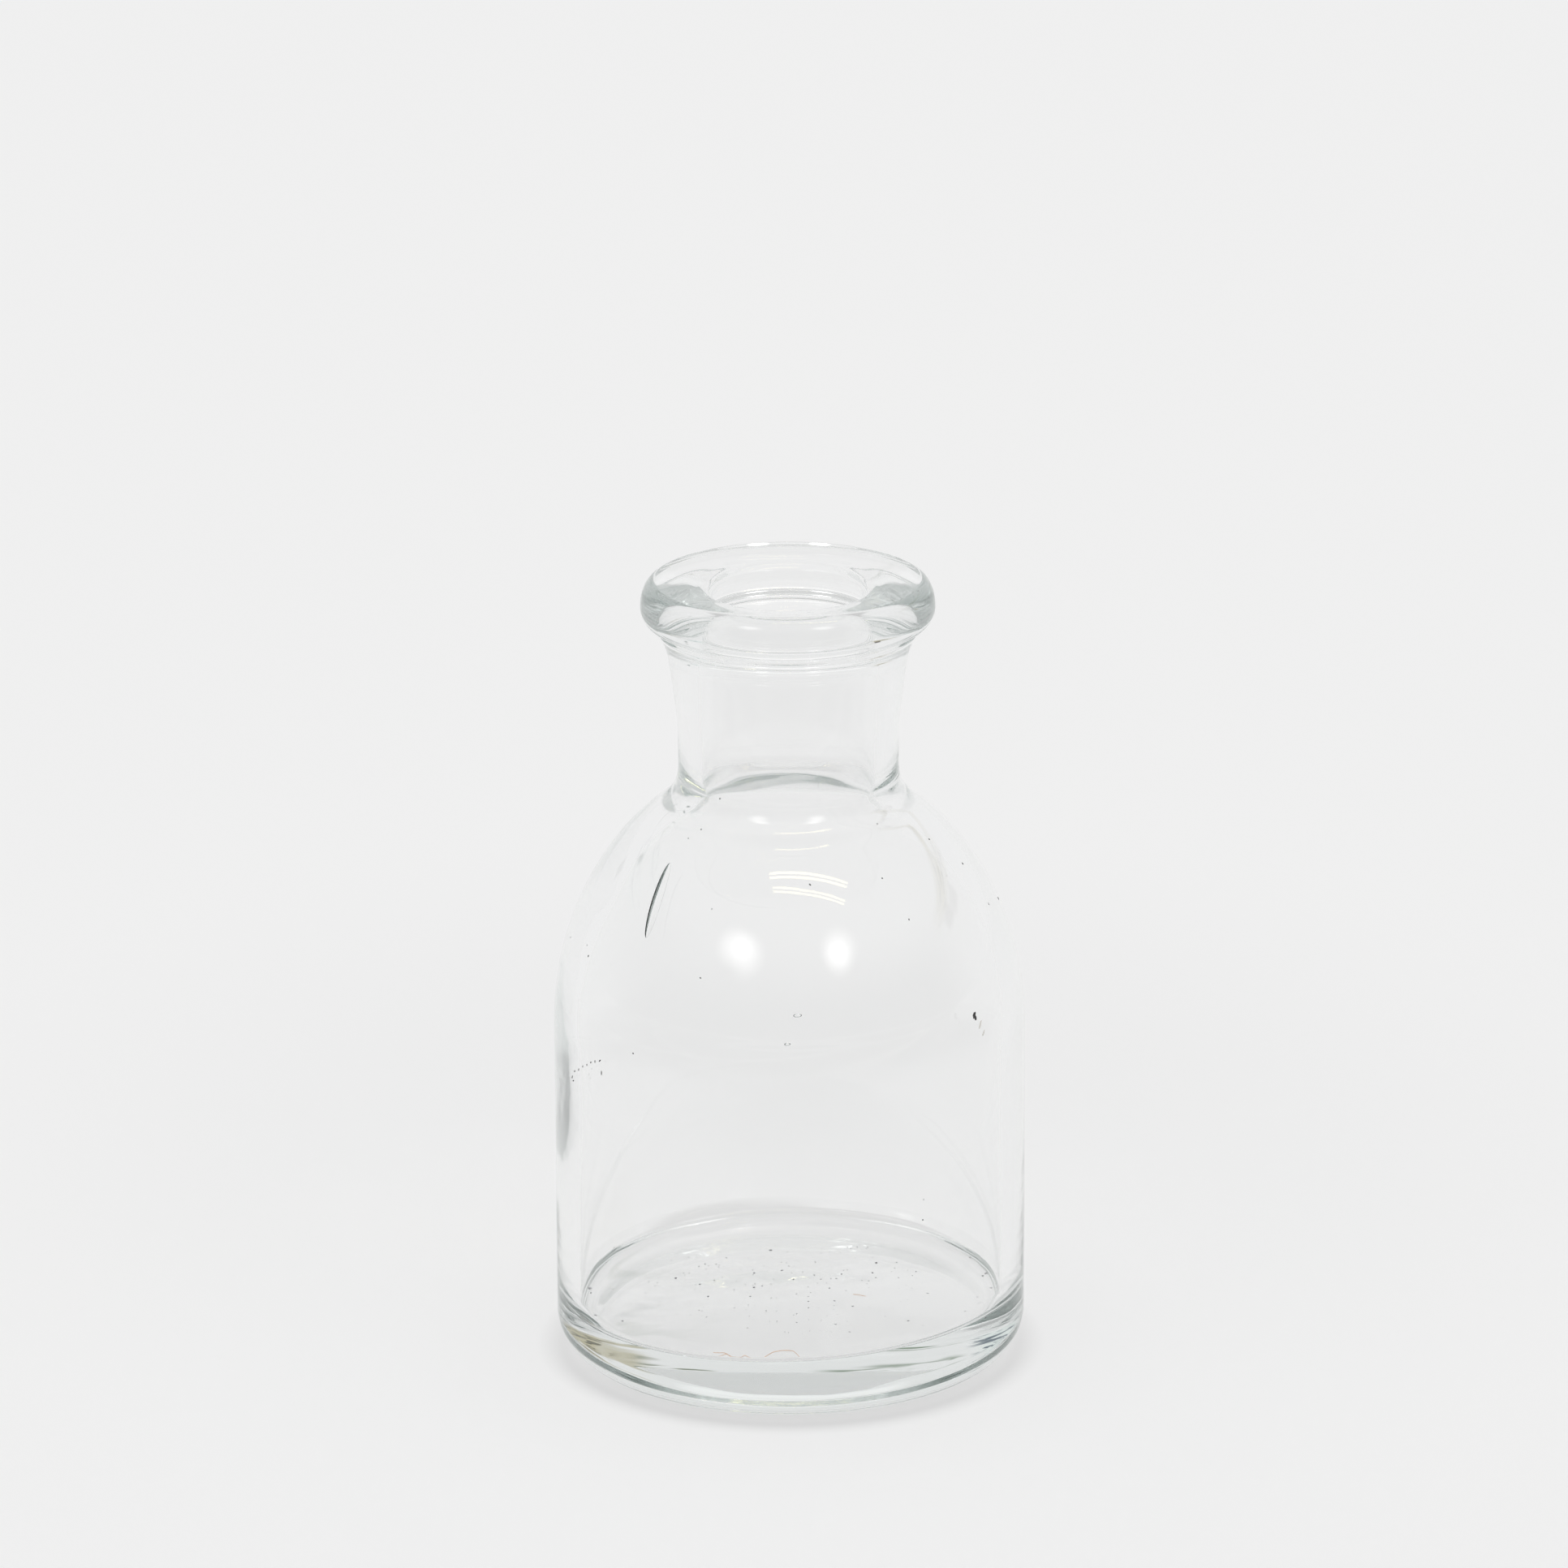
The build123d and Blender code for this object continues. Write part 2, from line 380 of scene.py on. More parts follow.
def blobs(name, items, material):
    """Small irregular grains: (centre, normal, radius, flatness, stretch, turn) each, sizes in mm."""
    bm = bmesh.new()
    for k, (p, nor, rad, flat, stretch, turn) in enumerate(items):
        q = Vector(nor).normalized().to_track_quat("Z", "Y")
        m = (Matrix.Translation(Vector(p) * MM) @ q.to_matrix().to_4x4() @ Matrix.Rotation(turn, 4, "Z")
             @ Matrix.Diagonal((rad * stretch * MM, rad * MM, rad * flat * MM, 1)))
        r_ = bmesh.ops.create_icosphere(bm, subdivisions=2, radius=1.0)
        for v in r_["verts"]:
            v.co *= 1 + 0.45 * noise.noise(v.co * 1.6 + Vector((k * 3.1, 1.7, 0.4)))
            v.co = m @ v.co
    me = bpy.data.meshes.new(name)
    bm.to_mesh(me)
    bm.free()
    me.polygons.foreach_set("use_smooth", [True] * len(me.polygons))
    ob = bpy.data.objects.new(name, me)
    scene.collection.objects.link(ob)
    me.materials.append(material)
    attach(ob, "root")
    return ob


UP = (0, 0, 1)
grit = []
# grains on the outside wall: position, normal, radius
for k, (p, nor, rad) in enumerate((
        ((24.40, -19.10, 53.38), (0.786, -0.615, 0.06), 0.31), ((24.55, -18.95, 52.95), (0.79, -0.61, 0.06), 0.22),
        ((23.12, -6.48, 70.34), (0.74, -0.21, 0.64), 0.16), ((12.28, -18.70, 72.39), (0.42, -0.63, 0.65), 0.13),
        ((2.75, -21.99, 72.63), (0.10, -0.78, 0.62), 0.12), ((-20.67, -23.86, 49.89), (-0.65, -0.75, 0.08), 0.14),
        ((-26.68, -12.66, 59.67), (-0.85, -0.40, 0.33), 0.15), ((28.04, -0.54, 63.44), (0.91, -0.02, 0.41), 0.16),
        ((18.65, -8.47, 74.42), (0.64, -0.29, 0.71), 0.12), ((11.72, -11.90, 77.72), (0.49, -0.50, 0.71), 0.10),
        ((-9.08, -11.85, 81.29), (-0.60, -0.78, 0.16), 0.11), ((-13.29, -12.99, 76.16), (-0.46, -0.45, 0.76), 0.09),
        ((-11.57, -12.68, 77.29), (-0.41, -0.45, 0.80), 0.11), ((15.78, -20.70, 67.30), (0.52, -0.68, 0.51), 0.11),
        ((-11.68, -26.48, 61.28), (-0.38, -0.86, 0.36), 0.10), ((-10.16, -22.44, 69.47), (-0.34, -0.75, 0.57), 0.08),
        ((17.53, -26.47, 27.28), (0.55, -0.83, 0.0), 0.12), ((17.64, -26.40, 30.12), (0.55, -0.83, 0.0), 0.09),
        ((-29.23, -4.51, 59.54), (-0.94, -0.15, 0.31), 0.10), ((-26.76, -17.08, 13.53), (-0.84, -0.54, 0.0), 0.13))):
    grit.append((p, nor, rad * (0.95 if k < 2 else 0.76), 0.45, 1.0 + 0.8 * rand(k), 6.28 * rand(k + 0.5)))
# a row of short rubs low on one side of the body
for k, (x, y, z, long_, turn) in enumerate((
        (-29.02, -12.88, 42.72, 3.2, 1.2), (-28.67, -13.64, 43.79, 2.4, 0.9), (-28.10, -14.78, 44.42, 2.2, 1.3),
        (-27.53, -15.82, 45.25, 2.0, 1.1), (-26.96, -16.77, 45.81, 1.9, 1.4), (-26.40, -17.63, 46.46, 2.2, 1.0),
        (-25.84, -18.43, 46.85, 2.6, 1.5), (-25.17, -19.32, 47.28, 3.4, 0.7), (-24.97, -19.61, 45.67, 4.2, 1.55),
        (-28.88, -13.20, 42.30, 3.0, 0.4))):
    grit.append(((x, y, z), (x, y, 0), 0.095, 0.35, long_ * 0.85, turn))
dark_grit = blobs("grit_on_glass", grit, mottled("grit", (0.006, 0.007, 0.009), (0.05, 0.045, 0.04), 4000.0, 0.6))

# grains on the inside floor
grit = []
for k, (x, y, rad) in enumerate((
        (-26.2, 15.2, 0.30), (-25.9, 13.6, 0.16), (-27.6, -0.1, 0.26), (-26.3, 9.3, 0.13), (-25.3, -10.6, 0.19),
        (-21.9, -12.2, 0.15), (25.6, 10.6, 0.16), (27.3, 4.4, 0.30), (26.6, 3.8, 0.18), (27.4, -1.6, 0.22),
        (-2.7, 14.3, 0.17), (-1.2, 6.5, 0.13), (0.4, 3.1, 0.13), (-4.9, 5.6, 0.13), (-12.5, 1.4, 0.14),
        (-11.2, -3.2, 0.14), (-15.9, 3.9, 0.16), (-4.9, 0.1, 0.12), (11.8, 9.2, 0.18), (11.2, 5.4, 0.12),
        (11.6, 3.6, 0.10), (7.0, 4.9, 0.12), (3.3, 4.6, 0.10), (4.2, 3.0, 0.10), (5.3, -0.3, 0.12), (7.5, -1.3, 0.10),
        (5.9, -5.2, 0.14), (2.4, -5.2, 0.12), (2.4, -7.6, 0.12), (8.3, -7.4, 0.17), (15.4, -13.5, 0.17),
        (18.5, -3.0, 0.14), (24.9, -4.7, 0.13), (22.8, -10.4, 0.14), (7.7, -17.0, 0.12), (5.9, -14.0, 0.15),
        (-3.8, 0.7, 0.09), (-5.4, -3.3, 0.10), (-7.6, -0.8, 0.09), (-10.5, 2.9, 0.09), (-12.0, 9.1, 0.10),
        (3.5, 9.6, 0.10), (17.3, 5.7, 0.09), (14.7, 3.5, 0.09))):
    grit.append(((x, y, FLOOR_Z + 0.05), UP, rad * 0.95, 0.5, 1.0 + 0.7 * rand(k + 40), 6.28 * rand(k + 70)))
for k in range(120):                       # fine dust
    a_, r_ = 6.2832 * rand(k + 200), 19.0 * math.sqrt(rand(k + 400))
    grit.append(((r_ * math.cos(a_) - 1.0, r_ * math.sin(a_) + 1.0, FLOOR_Z + 0.04), UP,
                 0.042 + 0.034 * rand(k + 600), 0.5, 1.0 + rand(k + 800), 6.28 * rand(k + 900)))
blobs("grit_on_floor", grit, mottled("floor_grit", (0.03, 0.04, 0.06), (0.20, 0.19, 0.20), 4000.0, 0.7))

# thin dried residue: a short brownish tail of two films beside the largest grain
film = []
for k, (x, y, z, nor, rad, stretch, turn) in enumerate((
        (25.25, -18.75, 51.9, (0.80, -0.60, 0), 0.22, 2.6, 1.15), (25.7, -18.3, 50.6, (0.81, -0.58, 0), 0.16, 2.6, 1.0))):
    film.append(((x, y, z), nor, rad, 0.06, stretch, turn))
blobs("dried_film", film, mottled("dried_film", (0.42, 0.36, 0.22), (0.62, 0.58, 0.46), 1500.0, 0.8, alpha=0.25))


def fibre(points, rad, sides=6):
    """A loose fibre: a thin tube through points (mm)."""
    P = hermite([p[:2] for p in points], np.subtract(points[1][:2], points[0][:2]), np.subtract(points[-1][:2], points[-2][:2]), 8)
    Z = np.interp(np.linspace(0, 1, len(P)), np.linspace(0, 1, len(points)), [p[2] for p in points])
    v0 = len(fib_v)
    for i, (x, y) in enumerate(P):
        a_, b_ = P[max(0, i - 1)], P[min(len(P) - 1, i + 1)]
        tx, ty = b_[0] - a_[0], b_[1] - a_[1]
        n_ = math.hypot(tx, ty) or 1.0
        for j in range(sides):
            t = 2 * math.pi * j / sides
            k = rad * (0.35 if i in (0, len(P) - 1) else 1.0)
            fib_v.append(((x - ty / n_ * k * math.cos(t)) * MM, (y + tx / n_ * k * math.cos(t)) * MM,
                          (Z[i] + k * math.sin(t)) * MM))
    for i in range(len(P) - 1):
        for j in range(sides):
            j2 = (j + 1) % sides
            fib_f.append((v0 + i * sides + j, v0 + i * sides + j2, v0 + (i + 1) * sides + j2, v0 + (i + 1) * sides + j))
    fib_f.append(tuple(v0 + j for j in reversed(range(sides))))
    fib_f.append(tuple(v0 + (len(P) - 1) * sides + j for j in range(sides)))


fib_v, fib_f = [], []
zf = FLOOR_Z + 0.12
for pts in ([(-3.4, -25.0, zf), (-2.3, -24.2, zf + 0.3), (-0.9, -24.0, zf + 0.4), (0.3, -24.3, zf + 0.4), (1.1, -25.2, zf)],
            [(-10.0, -23.4, zf), (-9.4, -24.5, zf + 0.3), (-8.6, -24.2, zf + 0.2), (-7.6, -25.3, zf)],
            [(-9.3, -25.6, zf), (-8.4, -25.0, zf + 0.3), (-7.3, -25.9, zf + 0.2), (-6.2, -25.2, zf)],
            [(-6.6, -26.2, zf), (-5.9, -25.4, zf + 0.3), (-5.1, -26.0, zf)],
            [(8.4, -2.9, zf), (9.2, -3.3, zf + 0.1), (10.3, -3.8, zf)]):
    fibre(pts, 0.036)
fib_me = bpy.data.meshes.new("loose_fibres")
fib_me.from_pydata(fib_v, [], fib_f)
fib_me.polygons.foreach_set("use_smooth", [True] * len(fib_me.polygons))
fibres = bpy.data.objects.new("loose_fibres", fib_me)
scene.collection.objects.link(fibres)
fib_me.materials.append(mottled("fibre", (0.50, 0.24, 0.12), (0.75, 0.50, 0.32), 2500.0, 0.7))
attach(fibres, "root")


# ------------------------------------------------------------------------------------ studio
def floor_with_painted_shade(name, colour, glow_by, rough=0.9, painted_shade_amounts=None):
    m, N, L = new_material(name)
    o = N.new("ShaderNodeOutputMaterial")
    b = N.new("ShaderNodeBsdfPrincipled")
    tex = N.new("ShaderNodeTexCoord")
    no = N.new("ShaderNodeTexNoise")
    no.inputs["Scale"].default_value = 3.0
    ramp = N.new("ShaderNodeMapRange")
    ramp.inputs["To Min"].default_value = colour * 0.995
    ramp.inputs["To Max"].default_value = colour * 1.005
    comb = N.new("ShaderNodeCombineColor")
    L.new(tex.outputs["Object"], no.inputs["Vector"])
    L.new(no.outputs["Fac"], ramp.inputs["Value"])
    for k in ("Red", "Green", "Blue"):
        L.new(ramp.outputs["Result"], comb.inputs[k])
    L.new(comb.outputs["Color"], b.inputs["Base Color"])
    b.inputs["Roughness"].default_value = rough
    b.inputs["Specular IOR Level"].default_value = 0.0
    b.inputs["Emission Color"].default_value = (1, 1, 1, 1)
    b.inputs["Emission Strength"].default_value = glow_by
    if painted_shade_amounts:                      # painted shade: the floor's glow and colour are cut under the thick base, in a thin ring round it, behind it, towards the front and in a broad patch behind, where less light would reach it
        ln = N.new("ShaderNodeVectorMath")
        ln.operation = "LENGTH"
        sy = N.new("ShaderNodeSeparateXYZ")
        L.new(tex.outputs["Object"], ln.inputs[0])
        L.new(tex.outputs["Object"], sy.inputs["Vector"])

        def mrange(value, a, b, t0=0.0, t1=1.0):
            r_ = N.new("ShaderNodeMapRange")
            r_.interpolation_type = "SMOOTHSTEP"
            for key, v in (("From Min", a), ("From Max", b), ("To Min", t0), ("To Max", t1)):
                r_.inputs[key].default_value = v
            L.new(value, r_.inputs["Value"])
            return r_.outputs["Result"]

        def op(kind, a, b_):
            m_ = N.new("ShaderNodeMath")
            m_.operation = kind
            for i_, v in enumerate((a, b_)):
                if isinstance(v, (int, float)):
                    m_.inputs[i_].default_value = v
                else:
                    L.new(v, m_.inputs[i_])
            return m_.outputs[0]

        radius = ln.outputs["Value"]
        # painted shade under the base, stronger towards the front
        under = op("MULTIPLY", mrange(radius, 0.0300, 0.0335, painted_shade_amounts[0], 0.0), mrange(sy.outputs["Y"], -0.024, 0.020, 1.55, 0.45))
        # painted glow: near the vase the floor takes less light and glows more instead, which fills in the vase's own
        # shadow
        painted_glow_near = mrange(radius, 0.0330, 0.0600, 0.85, 0.0)
        # painted shadow: a thin dark ring where the heel stands
        ring = op("MULTIPLY", mrange(radius, 0.0295, 0.0315, 0.0, painted_shade_amounts[1]), mrange(radius, 0.0325, 0.0350, 1.0, 0.0))
        # painted shadow behind the vase, kept to its width
        painted_shadow_behind = op("MULTIPLY", mrange(sy.outputs["Y"], 0.010, 0.030, 0.0, painted_shade_amounts[2]),
                  op("MULTIPLY", mrange(radius, 0.0325, 0.0350), mrange(radius, 0.0480, 0.0570, 1.0, 0.0)))
        painted_shadow_behind = op("MULTIPLY", painted_shadow_behind, mrange(op("ABSOLUTE", sy.outputs["X"], 0.0), 0.018, 0.028, 1.0, 0.0))
        # painted shade: the floor darker towards the front
        painted_shade_front = mrange(sy.outputs["Y"], -0.20, -0.075, painted_shade_amounts[3], 0.0)
        # painted shade: a broad soft darkening round a spot behind the vase
        painted_shade_spot = N.new("ShaderNodeVectorMath")
        painted_shade_spot.operation = "DISTANCE"
        painted_shade_spot.inputs[1].default_value = (0.0, 0.085, 0.0)
        L.new(tex.outputs["Object"], painted_shade_spot.inputs[0])
        wide = mrange(painted_shade_spot.outputs["Value"], 0.030, 0.150, painted_shade_amounts[4], 0.0)
        # what is left after the painted shade scales both the floor's glow and its colour
        after_painted_shade = op("SUBTRACT", 1.0, op("ADD", op("ADD", op("ADD", under, ring), op("ADD", painted_shadow_behind, painted_shade_front)), wide))
        painted_shade_colour = N.new("ShaderNodeVectorMath")
        painted_shade_colour.operation = "SCALE"
        # the painted glow near the vase is added to the floor's even glow
        L.new(op("MULTIPLY", after_painted_shade, op("ADD", glow_by, op("MULTIPLY", painted_glow_near, 0.49))), b.inputs["Emission Strength"])
        L.new(comb.outputs["Color"], painted_shade_colour.inputs[0])
        L.new(op("MULTIPLY", after_painted_shade, op("SUBTRACT", 1.0, painted_glow_near)), painted_shade_colour.inputs["Scale"])
        L.new(painted_shade_colour.outputs["Vector"], b.inputs["Base Color"])
    L.new(b.outputs["BSDF"], o.inputs["Surface"])
    return m


me = bpy.data.meshes.new("studio_floor")
me.from_pydata([(3 * math.cos(math.radians(3 * k)), 3 * math.sin(math.radians(3 * k)), -0.00004) for k in range(120)],
               [], [list(range(120))])
floor = bpy.data.objects.new("studio_floor", me)
scene.collection.objects.link(floor)
# the floor's material carries painted shade round the vase: under it, in a ring, behind, in front and in a broad patch
me.materials.append(floor_with_painted_shade("pale_floor_with_painted_shade", 0.60, 0.362, painted_shade_amounts=(0.11, 0.06, 0.11, 0.20, 0.034)))

world = bpy.data.worlds.new("studio")
scene.world = world
world.use_nodes = True
WN, WL = world.node_tree.nodes, world.node_tree.links
WN.clear()
wo = WN.new("ShaderNodeOutputWorld")
bg = WN.new("ShaderNodeBackground")
tc = WN.new("ShaderNodeTexCoord")
sep = WN.new("ShaderNodeSeparateXYZ")
mr = WN.new("ShaderNodeMapRange")
mr.interpolation_type = "SMOOTHSTEP"
mr.inputs["From Min"].default_value = -0.25
mr.inputs["From Max"].default_value = 0.50
mr.inputs["To Min"].default_value = CAMERA_SIDE
mr.inputs["To Max"].default_value = BACK_SIDE
WL.new(tc.outputs["Generated"], sep.inputs["Vector"])
WL.new(sep.outputs["Y"], mr.inputs["Value"])
WL.new(bg.outputs["Background"], wo.inputs["Surface"])
grey = WN.new("ShaderNodeCombineColor")


def wmath(op, a, b=None, c=None):
    n = WN.new("ShaderNodeMath")
    n.operation = op
    for i, v in enumerate((a, b, c)):
        if v is None:
            continue
        if isinstance(v, (int, float)):
            n.inputs[i].default_value = v
        else:
            WL.new(v, n.inputs[i])
    return n.outputs[0]


# directions round the vase, in degrees: azimuth 0 is the camera's side, positive to its right
w_az = wmath("MULTIPLY", wmath("ARCTAN2", sep.outputs["X"], wmath("MULTIPLY", sep.outputs["Y"], -1.0)), 57.29578)
w_el = wmath("MULTIPLY", wmath("ARCSINE", sep.outputs["Z"]), 57.29578)


def wrange(value, a, b):
    n = WN.new("ShaderNodeMapRange")
    n.interpolation_type = "SMOOTHSTEP"
    n.inputs["From Min"].default_value = a
    n.inputs["From Max"].default_value = b
    WL.new(value, n.inputs["Value"])
    return n.outputs["Result"]


# the room in front of the vase is lighter towards its ceiling
mr.inputs["To Min"].default_value = 0.0
mr.inputs["To Max"].default_value = 1.0
w_up = wmath("MULTIPLY_ADD", wrange(w_el, 10, 38), CEILING - CAMERA_SIDE, CAMERA_SIDE)
w_level = wmath("MULTIPLY_ADD", mr.outputs["Result"], wmath("SUBTRACT", BACK_SIDE, w_up), w_up)
for k in ("Red", "Green", "Blue"):
    WL.new(w_level, grey.inputs[k])
w_colour = grey.outputs["Color"]


def streaks(az_scale, el_scale, seed, a, b):
    """Dark streaks in the room, long in azimuth and thin in elevation: 1 in a streak, 0 outside."""
    p = WN.new("ShaderNodeCombineXYZ")
    WL.new(wmath("MULTIPLY", w_az, 1.0 / az_scale), p.inputs["X"])
    WL.new(wmath("MULTIPLY", w_el, 1.0 / el_scale), p.inputs["Y"])
    p.inputs["Z"].default_value = seed
    n = WN.new("ShaderNodeTexNoise")
    n.inputs["Scale"].default_value = 1.0
    n.inputs["Detail"].default_value = 2.5
    WL.new(p.outputs["Vector"], n.inputs["Vector"])
    return wrange(n.outputs["Fac"], b, a)


def room_mask(az0, az1, el0, el1, soft_az, soft_el):
    m = wmath("MULTIPLY", wrange(w_az, az0 - soft_az / 2, az0 + soft_az / 2), wrange(w_az, az1 + soft_az / 2, az1 - soft_az / 2))
    m = wmath("MULTIPLY", m, wrange(w_el, el0 - soft_el / 2, el0 + soft_el / 2))
    return wmath("MULTIPLY", m, wrange(w_el, el1 + soft_el / 2, el1 - soft_el / 2))


def lay(mask, colour):
    global w_colour
    mix = WN.new("ShaderNodeMix")
    mix.data_type = "RGBA"
    WL.new(mask, mix.inputs["Factor"])
    WL.new(w_colour, mix.inputs[6])
    mix.inputs[7].default_value = (*colour, 1)
    w_colour = mix.outputs[2]


# wares and shelves behind the vase, to its right (tan) and to its left (grey-blue), with dark gaps between them
lay(room_mask(104, 136, 19.6, 24.2, 16, 2.4), (0.51, 0.47, 0.31))
lay(room_mask(134, 150, 20.9, 23.4, 8, 1.5), (0.58, 0.55, 0.43))
lay(room_mask(-134, -104, 18.5, 25, 14, 3), (0.80, 0.86, 0.84))
lay(room_mask(-139, -134, 10.5, 13.5, 3, 1.5), (0.34, 0.37, 0.36))
lay(room_mask(111, 121, 15.5, 19.5, 4, 2), (0.12, 0.10, 0.09))
lay(room_mask(160, 200, 14, 19, 8, 2), (1.02, 1.02, 1.02))
lay(room_mask(-200, -160, 14, 19, 8, 2), (1.02, 1.02, 1.02))
lay(wmath("MULTIPLY", room_mask(102, 138, 19, 24.5, 12, 2), streaks(11.0, 0.7, 3.3, 0.40, 0.47)), (0.13, 0.12, 0.07))
lay(wmath("MULTIPLY", room_mask(-138, -102, 19, 24.5, 12, 2), streaks(12.0, 0.7, 8.1, 0.38, 0.45)), (0.14, 0.18, 0.22))
lay(wmath("MULTIPLY", room_mask(145, 166, 22.0, 23.8, 8, 1.2), streaks(20.0, 1.0, 5.2, 0.42, 0.50)), (0.24, 0.27, 0.20))
lay(wmath("MULTIPLY", room_mask(-174, -143, 21.8, 23.8, 8, 1.2), streaks(20.0, 1.0, 6.6, 0.44, 0.54)), (0.20, 0.27, 0.19))

WL.new(w_colour, bg.inputs["Color"])
bg.inputs["Strength"].default_value = 1.0


def glow(name, colour, strength, soft):
    """A glowing face, of a lamp or of a camera-hidden card: brightest in the middle, falling off to its edge. soft is
    the share of the radius over which it falls off; 0 gives an even face."""
    m, N, L = new_material(name)
    o = N.new("ShaderNodeOutputMaterial")
    e = N.new("ShaderNodeEmission")
    e.inputs["Color"].default_value = (*colour, 1)
    t = N.new("ShaderNodeTexCoord")
    ln = N.new("ShaderNodeVectorMath")
    ln.operation = "LENGTH"
    r = N.new("ShaderNodeMapRange")
    r.interpolation_type = "SMOOTHSTEP"
    r.inputs["From Min"].default_value = 1.0 - soft
    r.inputs["From Max"].default_value = 1.0
    r.inputs["To Min"].default_value = strength
    r.inputs["To Max"].default_value = 0.0
    e.inputs["Strength"].default_value = strength
    if soft:
        L.new(t.outputs["Object"], ln.inputs[0])
        L.new(ln.outputs["Value"], r.inputs["Value"])
        L.new(r.outputs["Result"], e.inputs["Strength"])
    if soft:                       # the room still shows through the lamp's faint edge
        clear = N.new("ShaderNodeBsdfTransparent")
        both = N.new("ShaderNodeAddShader")
        L.new(e.outputs["Emission"], both.inputs[0])
        L.new(clear.outputs["BSDF"], both.inputs[1])
        L.new(both.outputs["Shader"], o.inputs["Surface"])
    else:
        L.new(e.outputs["Emission"], o.inputs["Surface"])
    return m


def stage_piece(name, mesh, material):
    mesh.materials.append(material)
    ob = bpy.data.objects.new(name, mesh)
    scene.collection.objects.link(ob)
    ob.visible_camera = False
    ob.visible_shadow = False
    return ob


def soft_lamp(name, azimuth, elevation, distance, wide, tall, turn, strength):
    """A soft oval studio lamp that faces the vase. Azimuth is from the camera's side, positive to the right."""
    a, e = math.radians(azimuth), math.radians(elevation)
    away = Vector((math.sin(a) * math.cos(e), -math.cos(a) * math.cos(e), math.sin(e)))
    me = bpy.data.meshes.new(name)
    me.from_pydata([(math.cos(math.radians(6 * k)), math.sin(math.radians(6 * k)), 0) for k in range(60)],
                   [], [list(range(60))])
    ob = stage_piece(name, me, glow(name, (1.0, 0.99, 0.98), strength, 1.0))
    q = away.to_track_quat("Z", "Y")
    ob.matrix_world = (Matrix.Translation(away * distance + Vector((0, 0, 0.065)))
                       @ q.to_matrix().to_4x4() @ Matrix.Rotation(math.radians(turn), 4, "Z")
                       @ Matrix.Diagonal((wide / 2, tall / 2, 1, 1)))
    ob.visible_diffuse = False
    return ob


# the pale sweep ends in front of the vase; the darker table beyond it is a camera-hidden card that glows at a set level
# instead of being lit, painted light seen only in the glass
me = bpy.data.meshes.new("table")
me.from_pydata([(-1.2, -1.4, 0.0004), (1.2, -1.4, 0.0004), (1.2, -0.27, 0.0004), (-1.2, -0.27, 0.0004)], [], [(0, 1, 2, 3)])
# ... and at its sides, where the cards' painted glow falls from the sweep's level outward and, as painted shade,
# towards the front
for k, side in enumerate((-1, 1)):
    m, N, L = new_material("table_side_%d" % k)
    o = N.new("ShaderNodeOutputMaterial")
    e = N.new("ShaderNodeEmission")
    t = N.new("ShaderNodeTexCoord")
    sx = N.new("ShaderNodeSeparateXYZ")
    r = N.new("ShaderNodeMapRange")
    r.interpolation_type = "SMOOTHSTEP"
    # painted glow: as bright as the sweep next to it, darker further out
    for key, v in (("From Min", 0.12 * side), ("From Max", 0.30 * side), ("To Min", 0.87), ("To Max", 0.60)):
        r.inputs[key].default_value = v
    L.new(t.outputs["Object"], sx.inputs["Vector"])
    fade = N.new("ShaderNodeMapRange")
    fade.interpolation_type = "SMOOTHSTEP"
    for key, v in (("From Min", 0.02), ("From Max", 0.13), ("To Min", 0.0), ("To Max", 1.0)):
        fade.inputs[key].default_value = v
    soft_edge = N.new("ShaderNodeMix")
    soft_edge.inputs[3].default_value = 0.87
    L.new(sx.outputs["X"], r.inputs["Value"])
    L.new(sx.outputs["Y"], fade.inputs["Value"])
    L.new(fade.outputs["Result"], soft_edge.inputs[0])
    L.new(r.outputs["Result"], soft_edge.inputs[2])
    # painted shade: darker towards the front, as on the floor
    painted_shade_fall = N.new("ShaderNodeMapRange")
    painted_shade_fall.interpolation_type = "SMOOTHSTEP"
    for key, v in (("From Min", -0.20), ("From Max", -0.075), ("To Min", 0.80), ("To Max", 1.0)):
        painted_shade_fall.inputs[key].default_value = v
    level = N.new("ShaderNodeMath")
    level.operation = "MULTIPLY"
    L.new(sx.outputs["Y"], painted_shade_fall.inputs["Value"])
    L.new(soft_edge.outputs[0], level.inputs[0])
    L.new(painted_shade_fall.outputs["Result"], level.inputs[1])
    L.new(level.outputs[0], e.inputs["Strength"])
    L.new(e.outputs["Emission"], o.inputs["Surface"])
    side_me = bpy.data.meshes.new("table_side")
    xa, xb = sorted((0.12 * side, 2.50 * side))
    side_me.from_pydata([(xa, -0.27, 0.0004), (xb, -0.27, 0.0004), (xb, 0.13, 0.0004), (xa, 0.13, 0.0004)], [],
                        [(0, 1, 2, 3)])
    stage_piece("table_side_%d" % k, side_me, m).visible_diffuse = False
front_material = glow("table_front", (1.0, 1.0, 0.98), 0.50, 0.0)
N, L = front_material.node_tree.nodes, front_material.node_tree.links
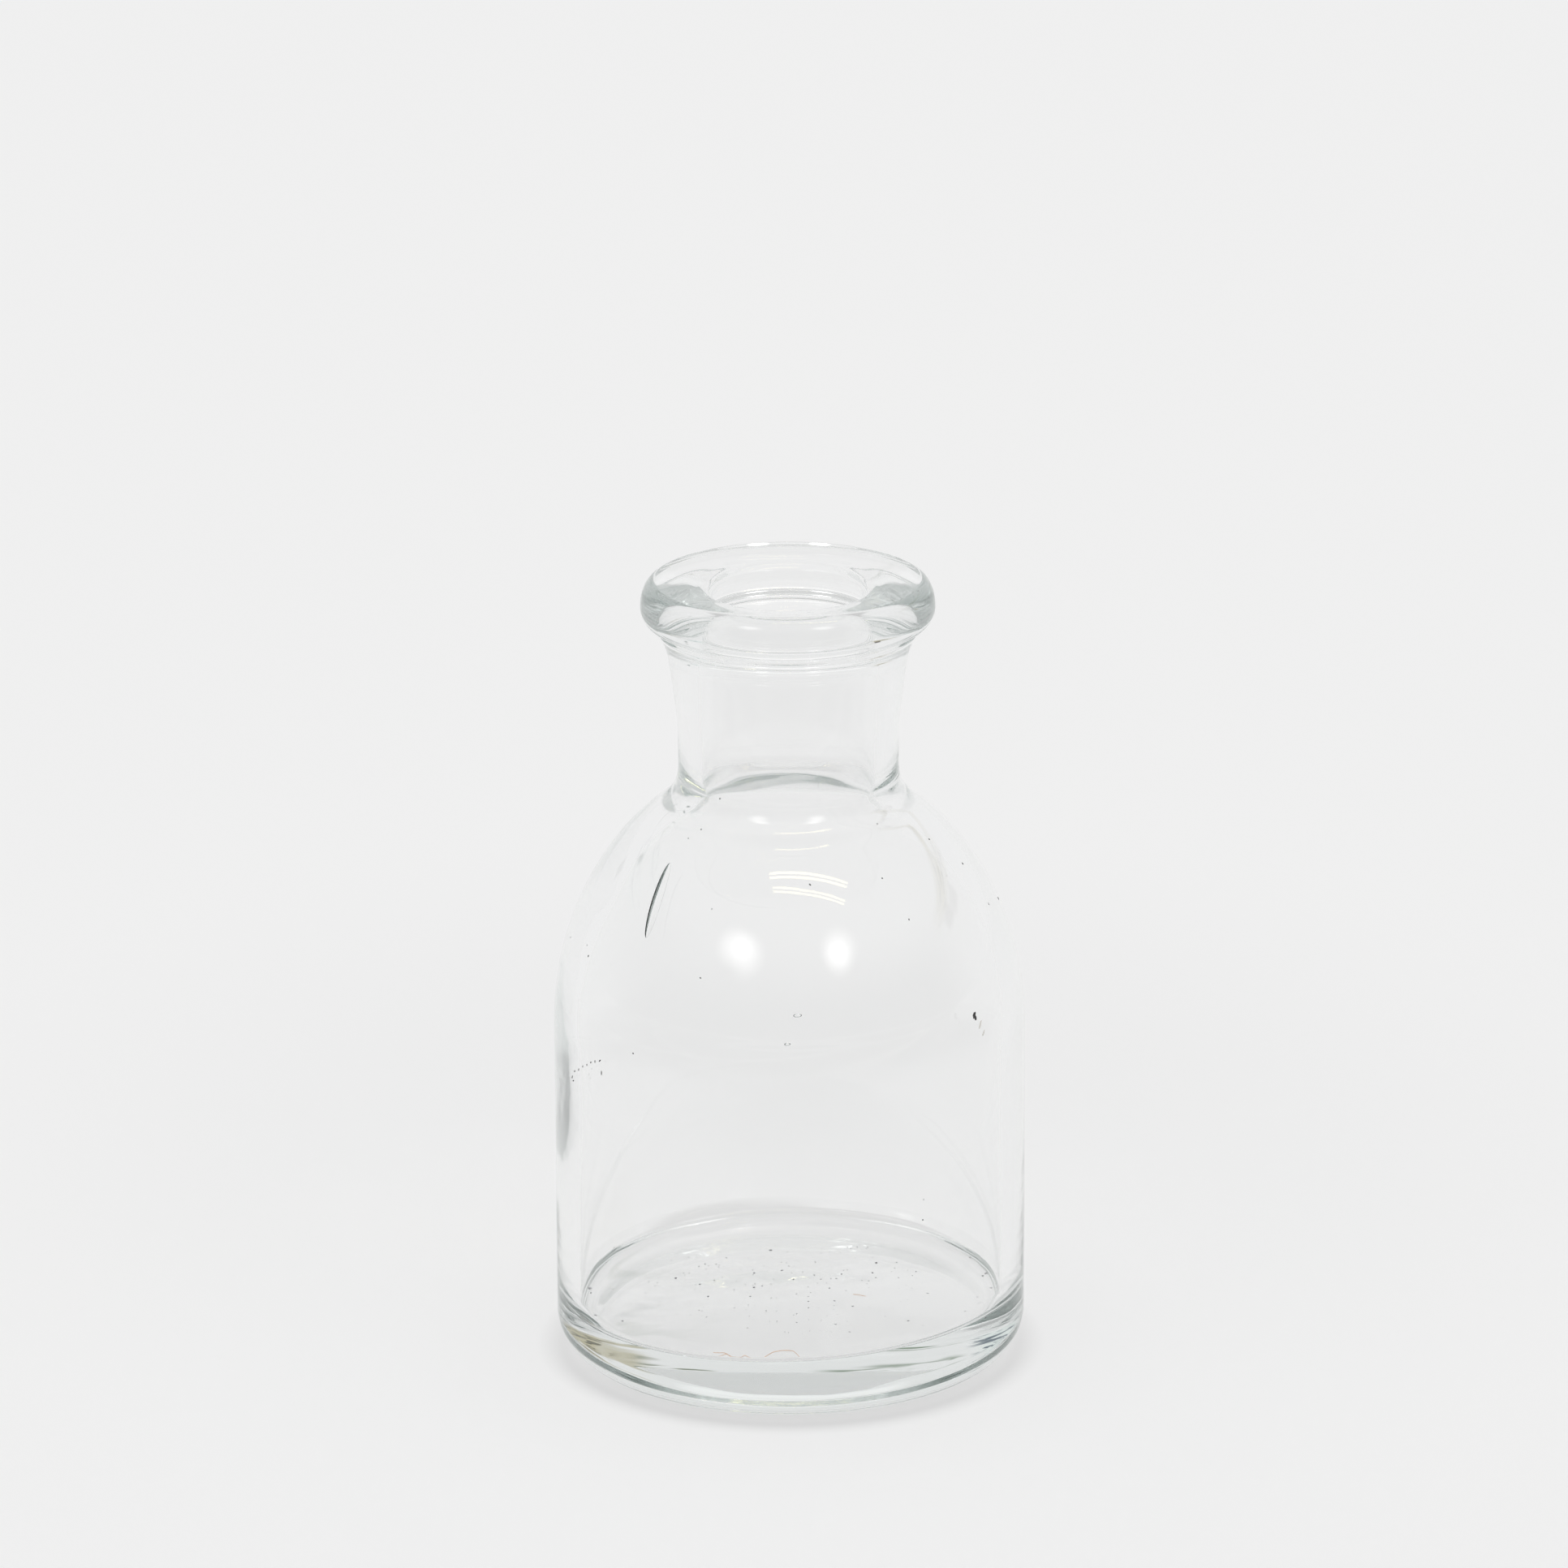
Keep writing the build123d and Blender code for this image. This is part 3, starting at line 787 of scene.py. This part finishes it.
t = N.new("ShaderNodeTexCoord")
sx = N.new("ShaderNodeSeparateXYZ")
r = N.new("ShaderNodeMapRange")
r.interpolation_type = "SMOOTHSTEP"
# painted glow: lighter where the front card meets the sweep, darker further away
for key, v in (("From Min", -0.42), ("From Max", -0.27), ("To Min", 0.48), ("To Max", 0.69)):
    r.inputs[key].default_value = v
L.new(t.outputs["Object"], sx.inputs["Vector"])
L.new(sx.outputs["Y"], r.inputs["Value"])
L.new(r.outputs["Result"], N["Emission"].inputs["Strength"])
table = stage_piece("table_front", me, front_material)
table.visible_diffuse = False

soft_lamp("umbrella_left", -33.0, 34.2, 2.2, 0.90, 0.76, 0, LAMP)
soft_lamp("umbrella_right", 30.0, 34.2, 2.2, 0.90, 0.76, 0, LAMP)

# a warm ceiling fitting with two long tubes, over the camera's side of the table
for k, y in enumerate((-0.715, -0.800)):
    w = 0.048
    me = bpy.data.meshes.new("tube")
    me.from_pydata([(-0.33, y - w / 2, 2.0), (1.09, y - w / 2, 2.0), (1.09, y + w / 2, 2.0), (-0.33, y + w / 2, 2.0)],
                   [], [(0, 1, 2, 3)])
    stage_piece("ceiling_tube_%d" % k, me, glow("tube_%d" % k, (1.0, 0.90, 0.55), TUBE, 0.0)).visible_diffuse = False

# ------------------------------------------------------------------------------------ camera
cam_data = bpy.data.cameras.new("camera")
cam = bpy.data.objects.new("camera", cam_data)
scene.collection.objects.link(cam)
cam_data.sensor_width = 36.0
cam_data.lens = 36.0 * 10855.4 / 1932
cam_data.dof.use_dof = False
cam.location = Vector((-0.602, -1120.22, 437.59)) * MM
pitch, roll = 0.3094, 0.0043
cam.rotation_euler = (Matrix.Rotation(math.pi / 2 - pitch, 4, "X") @ Matrix.Rotation(-roll, 4, "Z")).to_euler()
scene.camera = cam

scene.view_settings.view_transform = "Standard"
scene.view_settings.look = "None"
scene.view_settings.exposure = 0.0
scene.view_settings.gamma = 1.0
scene.cycles.max_bounces = 512
scene.cycles.transmission_bounces = 512
scene.cycles.glossy_bounces = 512
scene.cycles.blur_glossy = 0.0
